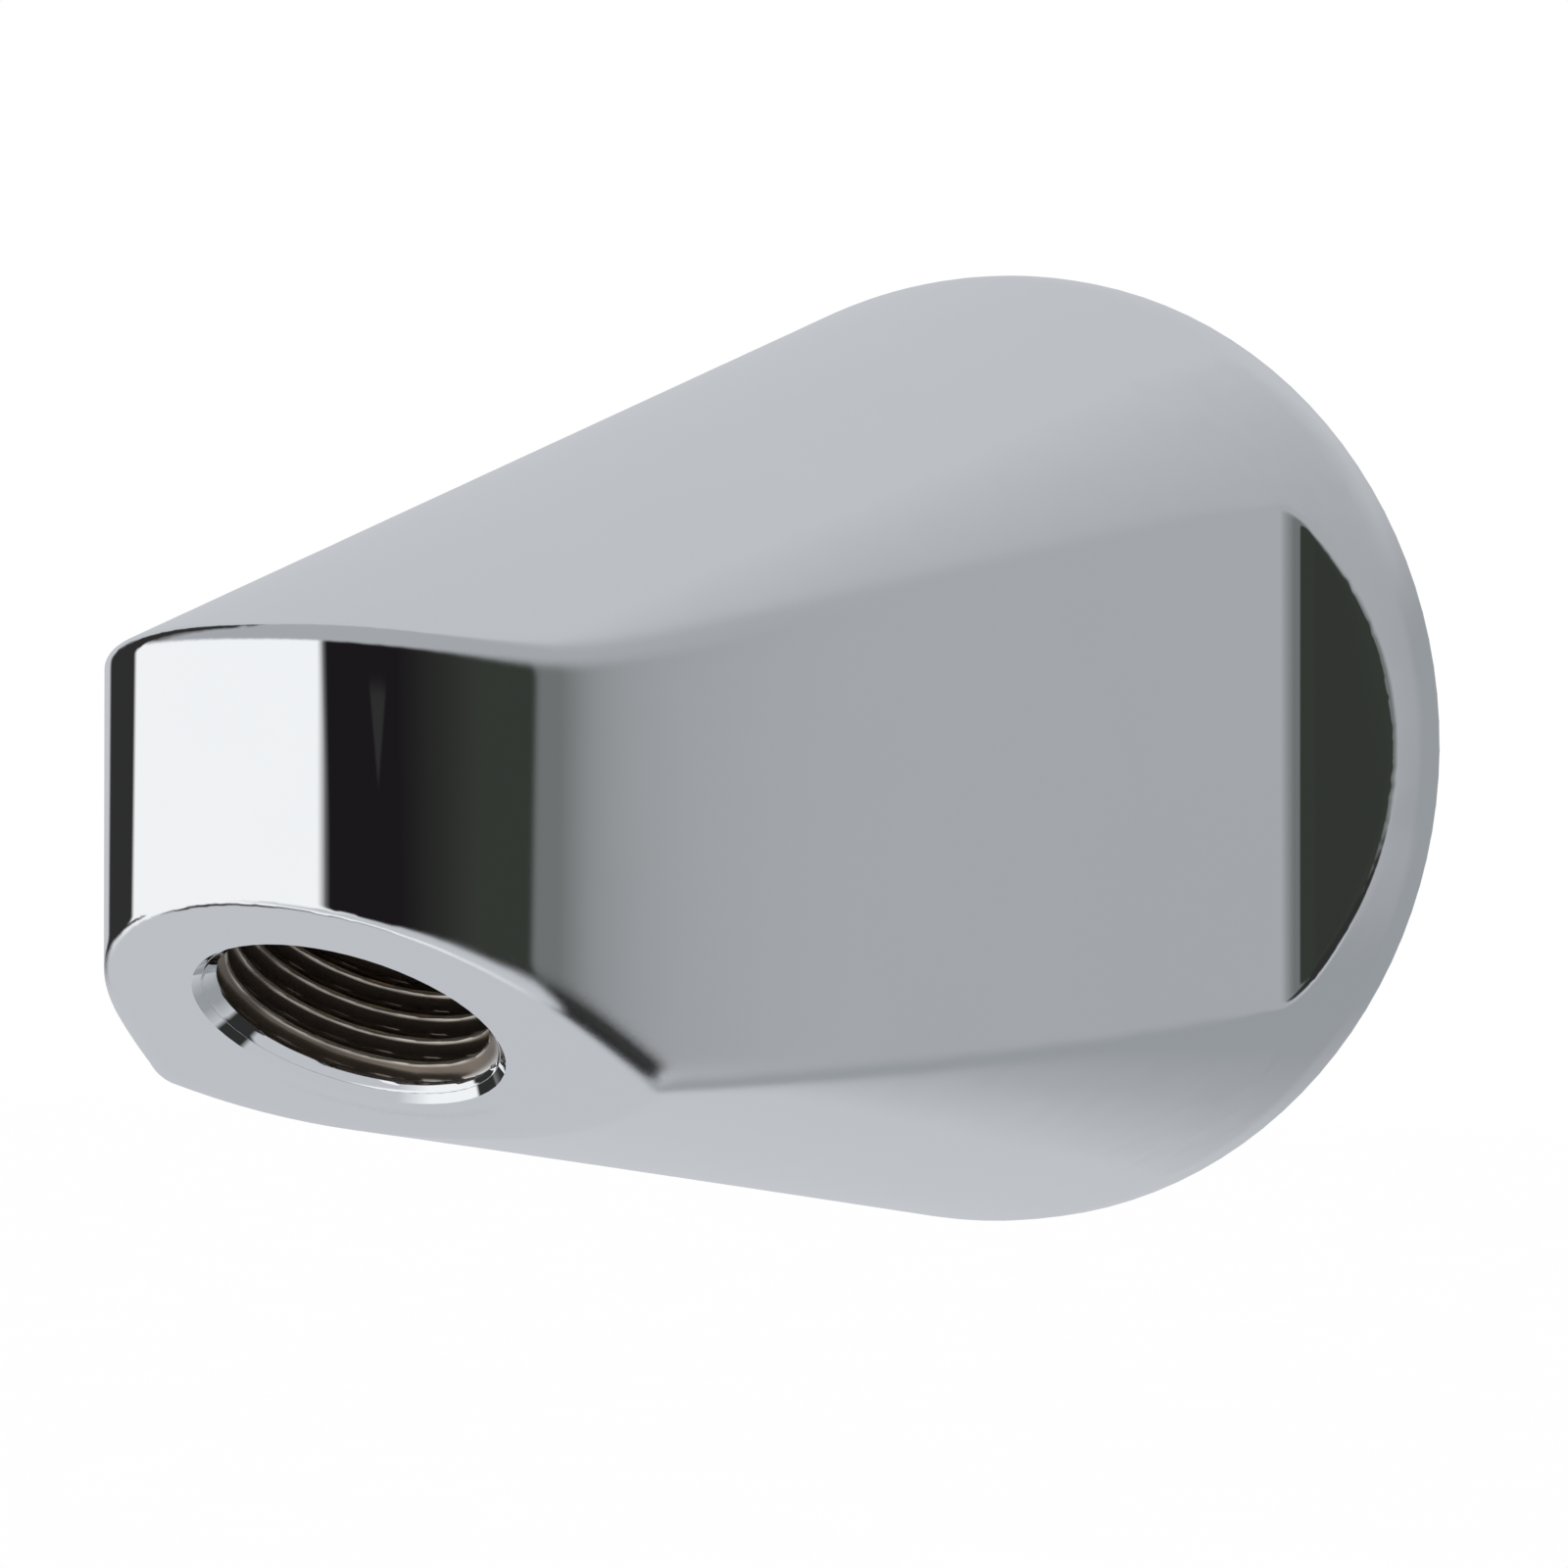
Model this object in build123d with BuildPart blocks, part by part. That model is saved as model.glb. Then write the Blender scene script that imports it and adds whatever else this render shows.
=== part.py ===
import os
from math import cos, radians, sin, tan

from build123d import *

# Wall flange and the flare that grows out of it
flange_radius = 38.7
rim_depth = 3.4
shoulder_radius = 18.0
rim_break = 0.2
reach = 113.0
top_fall = 16.75
under_rise = 6.9

# Section of the flare just past the nose, how far its curve is pulled out past the nose's half width
section_margin = 4.0
crown_overhang = 6.5
cheek_overhang = 7.0
cheek_drop = 18.5
jowl_overhang = 11.1
belly_overhang = 1.6

# Plan outline: round nose, flanks that straighten out behind it, slanted end walls
nose_radius = 19.5
nose_sweep = 70.0
flank_lead = 7.0
flank_ease = 0.25
end_wall_ledge = 6.88
end_wall_distance = 13.6
end_wall_angle = 42.0
scoop_radius = 5.6
edge_radius = 1.5

# Outlet for the shower arm, under the nose
outlet_distance = 98.9
outlet_drop = 20.7
outlet_tilt = 30.5
outlet_depth = 16.0
lip_radius = 0.6

# Half inch pipe thread, cut to its major radius, the ridges are left to the looks
thread_radius = 10.48
mouth_chamfer = 0.52

# Hollow back, inlet boss and waterway
wall = 3.0
cavity_depth = 70.0
boss_wall = 3.5
inlet_depth = 15.0
boss_floor = 3.0
waterway_radius = 6.5
tube_wall = 3.0

os.makedirs("parts", exist_ok=True)

fall = tan(radians(top_fall))
rise = tan(radians(under_rise))
section_distance = reach + section_margin
section_top = flange_radius - (section_distance - rim_depth) * fall
section_bottom = (section_distance - rim_depth) * rise - flange_radius

nose_centre = nose_radius - reach
corner_x = flange_radius - end_wall_ledge
corner_y = -end_wall_distance
nose_end_x = nose_radius * sin(radians(nose_sweep))
nose_end_y = nose_centre - nose_radius * cos(radians(nose_sweep))
lead_x = nose_end_x + flank_lead * cos(radians(nose_sweep))
lead_y = nose_end_y + flank_lead * sin(radians(nose_sweep))
ease_x = lead_x + (corner_x - lead_x) * flank_ease
ease_y = lead_y + (corner_y - lead_y) * flank_ease
flank_slope = (corner_x - lead_x) / (corner_y - lead_y)
beyond_x = 2 * flange_radius
beyond_y = (beyond_x - corner_x) * tan(radians(end_wall_angle)) + corner_y

outlet_face = Plane(
    origin=(0, -outlet_distance, -outlet_drop),
    x_dir=(1, 0, 0),
    z_dir=(0, -sin(radians(outlet_tilt)), -cos(radians(outlet_tilt))),
)
waterway_distance = outlet_distance - outlet_drop * tan(radians(outlet_tilt))
waterway_rise = outlet_drop / cos(radians(outlet_tilt))

cavity_fall = (cavity_depth - rim_depth) * fall
cavity_rise = (cavity_depth - rim_depth) * rise
back_half_width = corner_x - corner_y * flank_slope - wall
front_half_width = back_half_width - cavity_depth * flank_slope
back_crown = flange_radius - wall
back_eave = (back_crown**2 - back_half_width**2) ** 0.5
front_crown = back_crown - cavity_fall
front_eave = back_eave - cavity_fall / 2
front_belly = cavity_rise - back_crown

with BuildPart() as bracket_body:
    # Right half of the flare, a half circle at the rim drawn out to the nose section
    with BuildSketch(Plane.XZ.offset(rim_depth)):
        with BuildLine():
            rim = CenterArc((0, 0), flange_radius, -90, 180)
            Line(rim @ 1, rim @ 0)
        make_face()
    with BuildSketch(Plane.XZ.offset(section_distance)):
        with BuildLine():
            section = Bezier(
                (0, section_bottom),
                (nose_radius + belly_overhang, section_bottom),
                (nose_radius + jowl_overhang, section_bottom),
                (nose_radius + cheek_overhang, section_top - cheek_drop),
                (nose_radius + crown_overhang, section_top),
                (0, section_top),
            )
            Line(section @ 1, section @ 0)
        make_face()
    loft(ruled=True)

    # Straight rim against the wall, blended softly into the flare
    with BuildSketch(Plane.XZ):
        with BuildLine():
            back = CenterArc((0, 0), flange_radius, -90, 180)
            Line(back @ 1, back @ 0)
        make_face()
    extrude(amount=rim_depth)
    fillet(bracket_body.edges().filter_by(GeomType.CIRCLE).sort_by(Axis.Y)[0], shoulder_radius)
    mirror(about=Plane.YZ)

    # Plan outline cuts the nose, the flanks and the two end walls upright
    with BuildSketch() as plan:
        with BuildLine():
            CenterArc((0, nose_centre), nose_radius, -90, nose_sweep)
            Bezier((nose_end_x, nose_end_y), (lead_x, lead_y), (ease_x, ease_y), (corner_x, corner_y))
            Polyline(
                (corner_x, corner_y),
                (beyond_x, beyond_y),
                (0, beyond_y),
                (0, -reach),
            )
        make_face()
        corner = plan.vertices().sort_by_distance((corner_x, corner_y))[0]
        fillet(corner, scoop_radius)
        mirror(about=Plane.YZ)
    extrude(amount=2 * flange_radius, both=True, mode=Mode.INTERSECT)

    # Soft edge round the nose, the flanks and the end walls
    brow = bracket_body.edges().sort_by_distance((nose_radius / 2, -reach, section_top))[0]
    fillet(brow, edge_radius)

    # Tilted outlet face under the nose, its lip, and the rim's back edge
    split(bisect_by=outlet_face, keep=Keep.BOTTOM)
    fillet(bracket_body.edges().filter_by(GeomType.ELLIPSE)[0], lip_radius)
    fillet(bracket_body.edges().filter_by(GeomType.CIRCLE).sort_by(Axis.Y)[-1], rim_break)

    # Hollow behind the flange
    with BuildSketch(Plane.XZ):
        with BuildLine():
            ThreePointArc((-back_half_width, back_eave), (0, back_crown), (back_half_width, back_eave))
            Line((back_half_width, back_eave), (back_half_width, -back_eave))
            ThreePointArc((back_half_width, -back_eave), (0, -back_crown), (-back_half_width, -back_eave))
            Line((-back_half_width, -back_eave), (-back_half_width, back_eave))
        make_face()
    with BuildSketch(Plane.XZ.offset(cavity_depth)):
        with BuildLine():
            ThreePointArc((-front_half_width, front_eave), (0, front_crown), (front_half_width, front_eave))
            Line((front_half_width, front_eave), (front_half_width, -back_eave))
            ThreePointArc((front_half_width, -back_eave), (0, front_belly), (-front_half_width, -back_eave))
            Line((-front_half_width, -back_eave), (-front_half_width, front_eave))
        make_face()
    loft(ruled=True, mode=Mode.SUBTRACT)

    # Inlet boss and the tube that carries the water to the nose
    with BuildSketch(Plane.XZ):
        Circle(thread_radius + boss_wall)
    extrude(amount=inlet_depth + boss_floor)
    with BuildSketch(Plane.XZ):
        Circle(waterway_radius + tube_wall)
    extrude(amount=cavity_depth + wall)

    # Threaded inlet, waterway, threaded outlet
    with BuildSketch(Plane.XZ):
        Circle(thread_radius)
    extrude(amount=inlet_depth, mode=Mode.SUBTRACT)
    with BuildSketch(Plane.XZ):
        Circle(waterway_radius)
    extrude(amount=waterway_distance, mode=Mode.SUBTRACT)
    with BuildSketch(outlet_face):
        Circle(waterway_radius)
    extrude(amount=-waterway_rise, mode=Mode.SUBTRACT)
    with BuildSketch(outlet_face):
        Circle(thread_radius)
    extrude(amount=-outlet_depth, mode=Mode.SUBTRACT)
    mouths = bracket_body.edges().filter_by(GeomType.CIRCLE)
    chamfer(mouths.sort_by_distance(outlet_face.origin)[0], mouth_chamfer)

bracket_body.part.label = "bracket_body"
export_step(bracket_body.part, "parts/bracket_body.step")
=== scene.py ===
import math

import bmesh
import bpy
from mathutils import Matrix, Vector


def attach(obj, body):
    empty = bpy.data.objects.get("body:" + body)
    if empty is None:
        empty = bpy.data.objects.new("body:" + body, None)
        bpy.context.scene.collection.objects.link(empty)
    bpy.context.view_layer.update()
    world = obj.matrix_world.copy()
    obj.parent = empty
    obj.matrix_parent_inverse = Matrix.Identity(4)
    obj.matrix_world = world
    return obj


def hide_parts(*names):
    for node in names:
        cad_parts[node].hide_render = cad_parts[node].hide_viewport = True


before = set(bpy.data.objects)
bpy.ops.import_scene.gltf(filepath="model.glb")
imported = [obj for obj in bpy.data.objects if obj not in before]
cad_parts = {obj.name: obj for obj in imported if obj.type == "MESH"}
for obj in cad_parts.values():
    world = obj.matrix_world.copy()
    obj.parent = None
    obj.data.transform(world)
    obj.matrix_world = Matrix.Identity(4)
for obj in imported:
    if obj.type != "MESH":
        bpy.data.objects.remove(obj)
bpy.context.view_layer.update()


# Bracket body
# One casting in brass, plated with bright chrome on every face that is seen from the room.
# The hollow back, the inlet boss and the bore of the outlet are left as cast or cut brass.
class Wire:
    """A socket in one material, so that shader maths is written as plain sums."""

    def __init__(self, tree, socket=None):
        self.tree = tree
        self.socket = socket

    def node(self, kind, settings=None, inputs=None, output=0):
        """A new node: its settings are made first, then the values or links of its sockets."""
        made = self.tree.nodes.new(kind)
        for name, value in (settings or {}).items():
            if name == "stops":
                ramp = made.color_ramp.elements
                ramp[0].position, ramp[1].position = value[0][0], value[-1][0]
                ramp[0].color, ramp[1].color = (*value[0][1], 1), (*value[-1][1], 1)
                for place, colour in value[1:-1]:
                    ramp.new(place).color = (*colour, 1)
            else:
                setattr(made, name, value)
        for name, value in (inputs or {}).items():
            if isinstance(value, Wire):
                self.tree.links.new(value.socket, made.inputs[name])
            else:
                made.inputs[name].default_value = value
        return Wire(self.tree, made.outputs[output] if made.outputs else None)

    def maths(self, operation, first, second=0.0):
        return self.node("ShaderNodeMath", {"operation": operation}, {0: first, 1: second})

    def __add__(self, other):
        return self.maths("ADD", self, other)

    def __radd__(self, other):
        return self.maths("ADD", other, self)

    def __sub__(self, other):
        return self.maths("SUBTRACT", self, other)

    def __rsub__(self, other):
        return self.maths("SUBTRACT", other, self)

    def __mul__(self, other):
        return self.maths("MULTIPLY", self, other)

    def __rmul__(self, other):
        return self.maths("MULTIPLY", other, self)

    def __truediv__(self, other):
        return self.maths("DIVIDE", self, other)

    def __lt__(self, other):
        return self.maths("LESS_THAN", self, other)

    def __gt__(self, other):
        return self.maths("GREATER_THAN", self, other)

    def or_(self, other):
        return self.maths("MAXIMUM", self, other)

    def band(self, low, high):
        """0 at low and 1 at high, eased at both ends."""
        return self.node(
            "ShaderNodeMapRange",
            {"interpolation_type": "SMOOTHSTEP"},
            {"Value": self, "From Min": low, "From Max": high},
        )

    def parts(self):
        split = self.node("ShaderNodeSeparateXYZ", inputs={"Vector": self})
        return [Wire(self.tree, end) for end in split.socket.node.outputs]

    def noise(self, scale, detail, roughness=0.5):
        return self.node(
            "ShaderNodeTexNoise",
            inputs={"Vector": self, "Scale": scale, "Detail": detail, "Roughness": roughness},
        )

    def blend(self, first, second):
        """Colour that goes from first to second as this wire goes from 0 to 1."""
        first, second = [end if isinstance(end, Wire) else (*end, 1) for end in (first, second)]
        # A colour mix has its two colours on sockets 6 and 7 and its result on 2
        return self.node(
            "ShaderNodeMix", {"data_type": "RGBA"}, {"Factor": self, 6: first, 7: second}, output=2
        )


def finish_of(name, **constants):
    """A material, its shader and a bare wire to start from."""
    material = bpy.data.materials.new(name)
    material.use_nodes = True
    shader = material.node_tree.nodes["Principled BSDF"]
    for socket, value in constants.items():
        shader.inputs[socket.replace("_", " ")].default_value = value
    return material, shader, Wire(material.node_tree)


def feed(shader, **wires):
    for socket, wire in wires.items():
        wire.tree.links.new(wire.socket, shader.inputs[socket.replace("_", " ")])


def from_mouth(place, mouth, outward):
    """How far out of a bore's mouth a point is, and how far from the bore's axis."""
    x, y, z = place.parts()
    from_y = y - mouth.y
    from_z = z - mouth.z
    along = from_y * outward.y + from_z * outward.z
    across = place.maths("SQRT", x * x + from_y * from_y + from_z * from_z - along * along)
    return along, across


outlet_tilt = math.radians(30.5)
outlet_centre = Vector((0, -0.0989, -0.0207))
outlet_out = Vector((0, -math.sin(outlet_tilt), -math.cos(outlet_tilt)))
bore_radius = 0.0107
bore_depth = 0.0305
plated_mouth = 0.0006
mouth_edge = 0.0114, 0.0130
boss_radius = 0.0146
hollow_depth = 0.0705
back_facing = 0.4

nose_centre_y = -0.0935
end_wall_y = -0.0136
end_wall_fade = 0.014
soft_bearings = math.radians(25), math.radians(80)
front_softness = 0.0004
flank_softness = 0.0030

chrome_tones = (0.87, 0.885, 0.90), (0.90, 0.905, 0.91)
chrome_roughness = 0.022
haze_roughness = 0.02
haze_patches = 0.45, 0.75
brass_tones = (0.52, 0.37, 0.18), (0.74, 0.56, 0.29)
brass_roughness = 0.30
grain_roughness = 0.2
weld_distance = 1e-6
sharp_angle = math.radians(28)

# Where the brass is left bare
plating, plating_shader, wire = finish_of("bright_chrome_on_brass", Metallic=1.0)
place = wire.node("ShaderNodeTexCoord", output="Object")
facing = wire.node("ShaderNodeTexCoord", output="Normal")
x, y, z = place.parts()
facing_x, facing_y, facing_z = facing.parts()
from_axis = wire.maths("SQRT", x * x + z * z)
faces_inward = facing_x * x + facing_z * z < 0.0
in_hollow = (y > -hollow_depth) * (from_axis < boss_radius).or_(faces_inward)
along, across = from_mouth(place, outlet_centre, outlet_out)
in_bore = (along < -plated_mouth) * (along > -bore_depth) * (across < bore_radius)
bare = in_hollow.or_(in_bore).or_(facing_y > back_facing)

# Buffing has softened the edges, more along the flanks than in front, and not at the outlet's mouth
nose_bearing = wire.maths("ARCTAN2", wire.maths("ABSOLUTE", x), nose_centre_y - y)
flank_share = nose_bearing.band(*soft_bearings) * y.band(end_wall_y, end_wall_y - end_wall_fade)
softness = front_softness + (flank_softness - front_softness) * flank_share
buffed = wire.node("ShaderNodeBevel", {"samples": 12}, {"Radius": softness * across.band(*mouth_edge)})

# Plating with a faint haze, brass with a cast grain
haze = place.noise(scale=45.0, detail=4.0, roughness=0.6)
grain = place.noise(scale=900.0, detail=5.0, roughness=0.65)
grained = wire.node(
    "ShaderNodeBump",
    inputs={"Strength": 0.35, "Distance": 0.0004, "Height": grain * bare, "Normal": buffed},
)
plated_finish = chrome_roughness + haze_roughness * haze.band(*haze_patches)
feed(
    plating_shader,
    Base_Color=bare.blend(haze.blend(*chrome_tones), grain.blend(*brass_tones)),
    Roughness=plated_finish + bare * (brass_roughness + grain_roughness * grain),
    Normal=grained,
)

casting_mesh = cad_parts["bracket_body"].data.copy()
casting_mesh.name = "bracket_casting"
casting_mesh.attributes.remove(casting_mesh.attributes["custom_normal"])
welded = bmesh.new()
welded.from_mesh(casting_mesh)
bmesh.ops.remove_doubles(welded, verts=welded.verts, dist=weld_distance)
welded.to_mesh(casting_mesh)
welded.free()
casting_mesh.shade_smooth()
casting_mesh.set_sharp_from_angle(angle=sharp_angle)
casting_mesh.materials.clear()
casting_mesh.materials.append(plating)
casting = bpy.data.objects.new("bracket_casting", casting_mesh)
bpy.context.collection.objects.link(casting)
even_shine = casting.modifiers.new("even_shine", "WEIGHTED_NORMAL")
even_shine.mode = "FACE_AREA"
even_shine.weight = 100
even_shine.keep_sharp = True
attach(casting, "root")
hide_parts("bracket_body")


# Outlet thread and inlet thread
# Half inch pipe threads, cut in the brass after casting. Each is a rounded right-hand ridge that
# winds down the bore, its first turn cut back by a countersink, its last run out in the wall.
thread_pitch = 0.001814
crest_radius = 0.00932
root_radius = 0.01046
crest_flatness = 1.08
run_out_turns = 1.5
wall_skin = 0.00003
steps_round = 160
rows_per_turn = 18
ridge_angle = math.radians(35)

# The crest colour is a painted highlight, on brass that is also rubbed bright along the crests
crest_highlight_brass = (0.62, 0.57, 0.50)
flank_brass = (0.19, 0.155, 0.125)
stained_brass = (0.13, 0.10, 0.08)
sink_chrome = (0.88, 0.89, 0.90)
crest_highlight_width = 0.00020
stain_patches = 0.45, 0.75
stain_depth = 0.4
stained_metal = 0.85
cut_roughness = 0.12
stain_roughness = 0.16
sink_roughness = 0.03
plated_ease = 0.0002


def cut_thread(name, mouth, outward, start, length, sink):
    """Ring of metal between the bore's wall and the thread's ridges, closed at both ends.

    It runs from start to length below the mouth. The countersink narrows by sink for each unit of depth.
    """
    inward = -outward
    side = Vector((1, 0, 0))
    upright = inward.cross(side)
    rows = int((length - start) / thread_pitch * rows_per_turn)
    middle = (root_radius + crest_radius) / 2
    swing = (root_radius - crest_radius) / 2

    def circle(depth, radius_at):
        ring = []
        for step in range(steps_round):
            turn = 2 * math.pi * step / steps_round
            spoke = side * math.cos(turn) + upright * math.sin(turn)
            ring.append(mouth + inward * depth + spoke * radius_at(turn))
        return ring

    def ridge_radius(depth, run_out):
        def radius_at(turn):
            wave = math.cos(2 * math.pi * depth / thread_pitch - turn)
            ridge = middle - swing * max(-1.0, min(1.0, crest_flatness * wave))
            ridge = root_radius - (root_radius - ridge) * run_out
            return min(max(ridge, root_radius - sink * (depth - start)), root_radius - wall_skin)
        return radius_at

    points = circle(start, lambda turn: root_radius)
    for row in range(rows + 1):
        depth = start + (length - start) * row / rows
        run_out = min(1.0, (rows - row) / (rows_per_turn * run_out_turns))
        points += circle(depth, ridge_radius(depth, run_out))
    points += circle(length, lambda turn: root_radius)
    rings = len(points) // steps_round
    faces = []
    for ring in range(rings):
        near = ring * steps_round
        far = (ring + 1) % rings * steps_round
        for step in range(steps_round):
            after = (step + 1) % steps_round
            faces.append((near + step, far + step, far + after, near + after))
    mesh = bpy.data.meshes.new(name)
    mesh.from_pydata(points, [], faces)
    mesh.validate()
    mesh.shade_smooth()
    mesh.set_sharp_from_angle(angle=ridge_angle)
    thread = bpy.data.objects.new(name, mesh)
    bpy.context.collection.objects.link(thread)
    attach(thread, "root")
    return thread


def cut_brass(name, mouth, outward, plated_depth):
    """Cut metal, rubbed bright along the crests and given a painted highlight there, dark and stained
    below them, plated down to a depth.
    """
    material, shader, wire = finish_of(name)
    place = wire.node("ShaderNodeTexCoord", output="Object")
    along, across = from_mouth(place, mouth, outward)
    # Painted highlight: bright colour on each crest, fading to the dark flank colour over a narrow width
    crest_highlight_fade = across.band(crest_radius, crest_radius + crest_highlight_width)
    plated = along.band(-plated_depth - plated_ease, -plated_depth + plated_ease)
    stain = place.noise(scale=260.0, detail=4.0, roughness=0.6)
    cut = crest_highlight_fade.blend(crest_highlight_brass, flank_brass)
    cut = (stain.band(*stain_patches) * stain_depth).blend(cut, stained_brass)
    feed(
        shader,
        Base_Color=plated.blend(cut, sink_chrome),
        Roughness=(1 - plated) * (cut_roughness + stain_roughness * stain) + sink_roughness,
        Metallic=stained_metal + (1 - stained_metal) * plated,
    )
    return material


outlet_thread = cut_thread(
    "outlet_thread", outlet_centre, outlet_out, start=0.00053, length=0.0154, sink=1.0
)
outlet_cut = cut_brass("outlet_cut_brass", outlet_centre, outlet_out, plated_depth=0.0014)
outlet_thread.data.materials.append(outlet_cut)

# The inlet's plating would end outside its mouth, so all of that thread is bare brass
inlet_centre = Vector((0, 0, 0))
inlet_out = Vector((0, 1, 0))
inlet_thread = cut_thread("inlet_thread", inlet_centre, inlet_out, start=0.0002, length=0.0145, sink=0.7)
inlet_cut = cut_brass("inlet_cut_brass", inlet_centre, inlet_out, plated_depth=-0.001)
inlet_thread.data.materials.append(inlet_cut)


# Studio floor
# A plain floor of pale paper under the bracket, which hangs above it as it does on a wall.
# The paper isn't mirrored in the plating, which shows the tent instead.
floor_height = -0.30
floor_half = 6.0
floor_corners = (-1, -1), (1, -1), (1, 1), (-1, 1)
paper_tones = (0.99, 0.99, 0.99), (1.0, 1.0, 1.0)
floor_mesh = bpy.data.meshes.new("studio_floor")
floor_mesh.from_pydata(
    [(floor_half * across, floor_half * ahead, floor_height) for across, ahead in floor_corners],
    [],
    [(0, 1, 2, 3)],
)
floor = bpy.data.objects.new("studio_floor", floor_mesh)
bpy.context.collection.objects.link(floor)
paper, paper_shader, wire = finish_of("pale_paper", Roughness=0.9, Specular_IOR_Level=0.0)
mottle = wire.node("ShaderNodeTexCoord", output="Object").noise(scale=14.0, detail=3.0)
feed(paper_shader, Base_Color=mottle.blend(*paper_tones))
floor_mesh.materials.append(paper)
floor.visible_glossy = False


# Studio tent
# A glowing shell round the set, seen only in the plating, whose tones stand in for lit cloth and cards:
# a wide white screen on the left, dark cards round the camera, grey cloth on the right and pale cloth
# behind and overhead.
tent_radius = 2.5
bpy.ops.mesh.primitive_uv_sphere_add(segments=96, ring_count=48, radius=tent_radius)
tent = bpy.context.object
tent.name = "studio_tent"
cloth = bpy.data.materials.new("glowing_tent_cloth")
cloth.use_nodes = True
cloth.node_tree.nodes.clear()
wire = Wire(cloth.node_tree)
x, y, z = wire.node("ShaderNodeTexCoord", output="Object").parts()
bearing = wire.maths("DEGREES", wire.maths("ARCTAN2", x, 0.0 - y))
height = z / tent_radius


def round_the_set(*stops):
    """Cloth and cards in order of their bearing, -180 to 180 degrees from straight ahead of the nose."""
    return wire.node(
        "ShaderNodeValToRGB",
        {"stops": [((degrees + 180) / 360, colour) for degrees, colour in stops]},
        {"Fac": (bearing + 180.0) / 360.0},
    )


def between(value, start, end, ease):
    """1 from start to end and 0 outside them, eased just inside each."""
    return value.band(start, start + ease) * value.band(end, end - ease)


def card(bearings, heights, ease, fade):
    """1 on a card that hangs between two bearings and two heights, 0 off it."""
    return between(bearing, *bearings, ease) * between(height, *heights, fade)


bright_screen = (0.98, 0.99, 1.0)
pale_cloth = (0.56, 0.58, 0.61)
grey_cloth = (0.41, 0.42, 0.44)
dim_cloth = (0.33, 0.35, 0.37)
dark_cloth = (0.17, 0.18, 0.18)
olive_card = (0.038, 0.043, 0.036)
black_card = (0.03, 0.03, 0.03)
black_velvet = (0.012, 0.010, 0.012)
level = round_the_set(
    (-180, grey_cloth), (-160, pale_cloth), (-122, pale_cloth), (-119, black_card), (-91, black_card),
    (-89, bright_screen), (3, bright_screen), (6, black_velvet), (34, black_velvet), (66, olive_card),
    (87.5, olive_card), (89.5, dark_cloth), (100, dark_cloth), (133, grey_cloth), (140, grey_cloth),
    (150, dim_cloth), (168, dim_cloth), (180, grey_cloth),
)
under_level = round_the_set(
    (-180, grey_cloth), (-160, pale_cloth), (-122, pale_cloth), (-117, black_card), (-82, black_card),
    (-78, bright_screen), (2, bright_screen), (20, pale_cloth), (45, grey_cloth), (65, black_card),
    (121, black_card), (128, grey_cloth), (145, grey_cloth), (158, dim_cloth), (170, dim_cloth),
    (180, grey_cloth),
)
low = round_the_set(
    (-180, grey_cloth), (-165, pale_cloth), (-110, pale_cloth), (-90, bright_screen),
    (-40, bright_screen), (-20, pale_cloth), (78, pale_cloth), (84, black_card), (116, black_card),
    (124, pale_cloth), (150, dim_cloth), (170, dim_cloth), (180, grey_cloth),
)
high = round_the_set(
    (-180, pale_cloth), (-118, pale_cloth), (-112, black_card), (-92, black_card), (-72, grey_cloth),
    (145, grey_cloth), (180, pale_cloth),
)

# A slit in the velvet beside the camera, which widens upwards
slit_bearing = 26.0
slit_left = 3.24
slit_right = 4.32
slit_heights = 0.008, 0.038
slit_share = (height - slit_heights[0]) / (slit_heights[1] - slit_heights[0])
slit_sides = slit_bearing - slit_left * slit_share, slit_bearing + slit_right * slit_share
slit = card(slit_sides, slit_heights, ease=0.72, fade=0.006)
level = slit.blend(level, black_card)

# Two black cards low on the left, and the heights at which each band of cloth turns into the next
side_card = card((-101.0, -75.0), (-0.41, -0.26), ease=4.32, fade=0.02)
low_card = card((-116.64, -70.2), (-0.88, -0.745), ease=4.32, fade=0.025)
to_below, to_low = (-0.10, -0.22), (-0.30, -0.42)
to_above, to_crown = (0.20, 0.44), (0.83, 0.875)
low = low_card.blend(low, black_card)
below = side_card.blend(height.band(*to_low).blend(under_level, low), black_card)
above = height.band(*to_crown).blend(high, grey_cloth)
shade = height.band(*to_below).blend(height.band(*to_above).blend(level, above), below)
# The shell glows with these tones: they are emitted light, seen only in the plating's reflections
glow = wire.node("ShaderNodeEmission", inputs={"Color": shade, "Strength": 1.0})
wire.node("ShaderNodeOutputMaterial", inputs={"Surface": glow})
tent.data.materials.append(cloth)
tent.visible_camera = False
tent.visible_diffuse = False
tent.visible_shadow = False


# Light and camera
# Even white light from all round, and a long lens a little below the flange's middle.
world = bpy.data.worlds.new("white_room")
world.use_nodes = True
sky = world.node_tree.nodes["Background"]
sky.inputs["Color"].default_value = (1, 1, 1, 1)
sky.inputs["Strength"].default_value = 1.0
bpy.context.scene.world = world

camera_bearing = math.radians(28.56)
camera_rise = math.radians(-0.94)
camera_distance = 0.45334
looked_at = Vector((-0.00136, -0.035, -0.00347))
backward = Vector((
    math.sin(camera_bearing) * math.cos(camera_rise),
    -math.cos(camera_bearing) * math.cos(camera_rise),
    math.sin(camera_rise),
))
lens = bpy.data.cameras.new("photo_camera")
lens.lens = 135.0
lens.sensor_width = 36.0
lens.clip_start = 0.01
lens.clip_end = 20.0
camera = bpy.data.objects.new("photo_camera", lens)
bpy.context.collection.objects.link(camera)
camera.location = looked_at + backward * camera_distance
camera.rotation_mode = "QUATERNION"
camera.rotation_quaternion = (-backward).to_track_quat("-Z", "Y")
bpy.context.scene.camera = camera
bpy.context.scene.view_settings.view_transform = "Standard"
